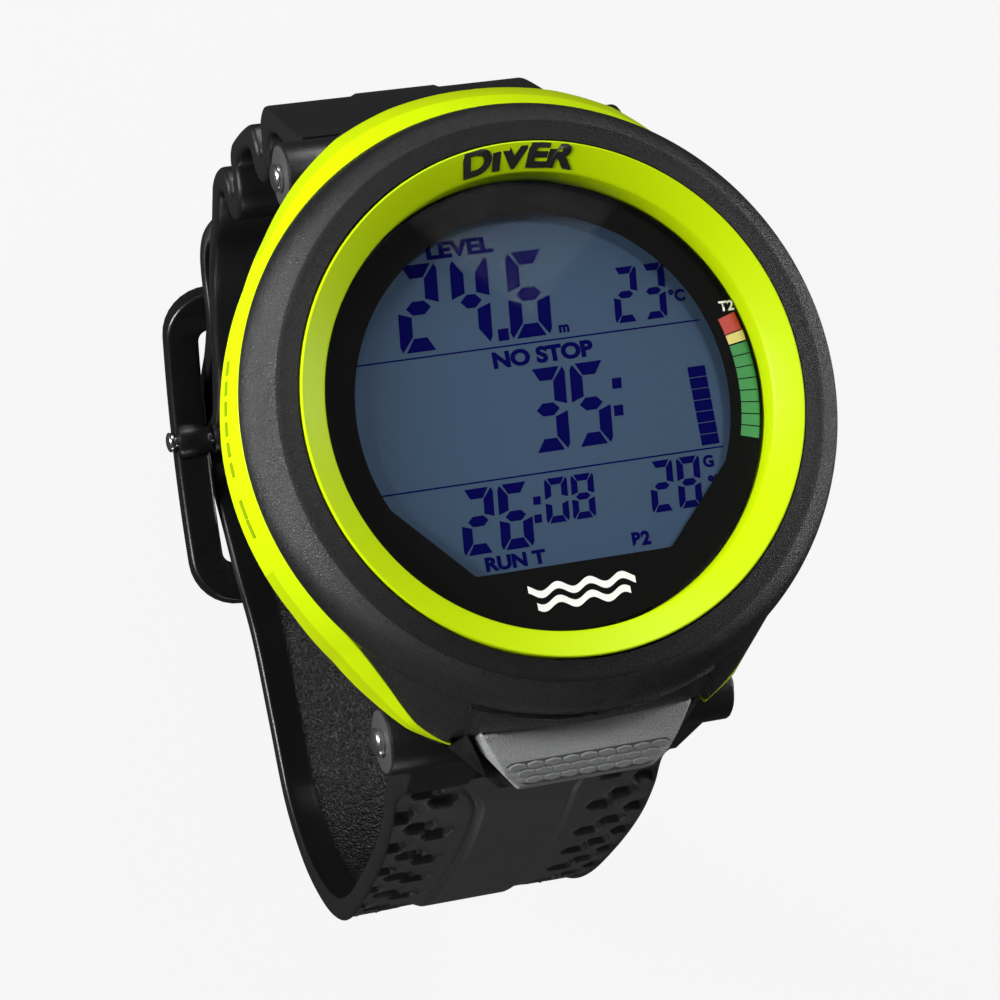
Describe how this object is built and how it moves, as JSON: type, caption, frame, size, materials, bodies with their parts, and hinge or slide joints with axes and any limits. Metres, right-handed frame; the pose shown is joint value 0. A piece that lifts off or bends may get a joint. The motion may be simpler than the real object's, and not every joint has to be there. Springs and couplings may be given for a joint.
{
  "type": "wrist dive computer",
  "caption": "Round wrist-worn dive computer with a large display, one front button and a buckled rubber strap that has an expanding bellows.",
  "frame": {"origin": "centre of the lens's outer face", "axes": "+Z out of the display, towards the reader; +Y to 12 o'clock, away from the button; +X to 3 o'clock; the strap loop hangs towards -Z"},
  "size_m": [0.0732, 0.1035, 0.1227],
  "materials": {
    "shell_plastic": "fine spark-eroded texture",
    "lime_plastic": "smooth gloss",
    "lens_glass": "polished",
    "dial_print": "satin print",
    "display_glass": "satin polariser",
    "diffuser_plastic": "frosted",
    "carrier_plastic": "moulded",
    "connector_silicone": "matt",
    "board_laminate": "solder mask",
    "chip_epoxy": "matt",
    "bare_steel": "bright",
    "seal_rubber": "matt",
    "button_plastic": "satin with a moulded honeycomb",
    "strap_rubber": "satin outside, stippled inside",
    "buckle_plastic": "satin"
  },
  "bodies": {
    "case": {"case_shell": "shell_plastic", "bezel_ring": "shell_plastic", "dial_ring": "lime_plastic", "trim_ring": "lime_plastic", "lens": "lens_glass", "lens_gasket": "seal_rubber", "dial_mask": "dial_print", "lcd_panel": "display_glass", "backlight": "diffuser_plastic", "lcd_frame": "carrier_plastic", "zebra_connector_upper": "connector_silicone", "zebra_connector_lower": "connector_silicone", "circuit_board": "board_laminate", "processor_chip": "chip_epoxy", "radio_module": "chip_epoxy", "memory_chip": "chip_epoxy", "button_switch": "chip_epoxy", "quartz_crystal": "bare_steel", "pressure_sensor": "bare_steel", "buzzer": "bare_steel", "battery_housing": "carrier_plastic", "battery": "bare_steel", "battery_contact_inner": "bare_steel", "case_back": "shell_plastic", "case_back_seal": "seal_rubber", "case_back_screw_1": "bare_steel", "case_back_screw_2": "bare_steel", "case_back_screw_3": "bare_steel", "case_back_screw_4": "bare_steel", "battery_cover_seal": "seal_rubber", "button_seal": "seal_rubber", "button_spring": "bare_steel", "upper_strap_pin": "bare_steel", "lower_strap_pin": "bare_steel"},
    "battery_cover": {"battery_cover": "shell_plastic", "battery_contact_outer": "bare_steel"},
    "button": {"button": "button_plastic", "button_stem": "bare_steel", "button_clip": "bare_steel"},
    "upper_strap": {"upper_strap_lug": "strap_rubber", "upper_strap_bellows": "strap_rubber"},
    "upper_strap_end": {"upper_strap_end": "strap_rubber", "buckle_pin": "bare_steel"},
    "lower_strap": {"lower_strap": "strap_rubber"},
    "buckle_frame": {"buckle_frame": "buckle_plastic"},
    "buckle_tongue": {"buckle_tongue": "buckle_plastic"}
  },
  "joints": [
    {"name": "bellows_stretch", "type": "slide", "parent": "upper_strap", "child": "upper_strap_end", "axis": [0, 0, -1], "range_m": [-0.0015, 0.006], "stiffness_N_per_m": 2500, "deforming": ["upper_strap_bellows"]},
    {"name": "upper_strap_swing", "type": "hinge", "parent": "case", "child": "upper_strap", "pos_m": [0, 0.0343, -0.0213], "axis": [1, 0, 0], "range_deg": [-5.2, 1.5]},
    {"name": "lower_strap_swing", "type": "hinge", "parent": "case", "child": "lower_strap", "pos_m": [0, -0.0343, -0.0213], "axis": [1, 0, 0], "range_deg": [-5.2, 1.5]},
    {"name": "buckle_frame_tilt", "type": "hinge", "parent": "upper_strap_end", "child": "buckle_frame", "pos_m": [0, 0.01804, -0.11244], "axis": [1, 0, 0], "range_deg": [-0.6, 0.6]},
    {"name": "buckle_tongue_lift", "type": "hinge", "parent": "upper_strap_end", "child": "buckle_tongue", "pos_m": [0, 0.01804, -0.11244], "axis": [1, 0, 0], "range_deg": [0, 4]},
    {"name": "button_press", "type": "slide", "parent": "case", "child": "button", "axis": [0, 1, 0], "range_m": [0, 0.0012], "stiffness_N_per_m": 1500, "springref_m": -0.001, "deforming": ["button_spring"]},
    {"name": "battery_cover_turn", "type": "hinge", "parent": "case", "child": "battery_cover", "pos_m": [0, 0.0055, -0.0252], "axis": [0, 0, 1], "range_deg": [0, 60]}
  ],
  "couplings": [
    {"joint": "upper_strap_swing", "follows": "bellows_stretch", "rad_per_m": -14.577},
    {"joint": "lower_strap_swing", "follows": "bellows_stretch", "rad_per_m": -14.577}
  ]
}
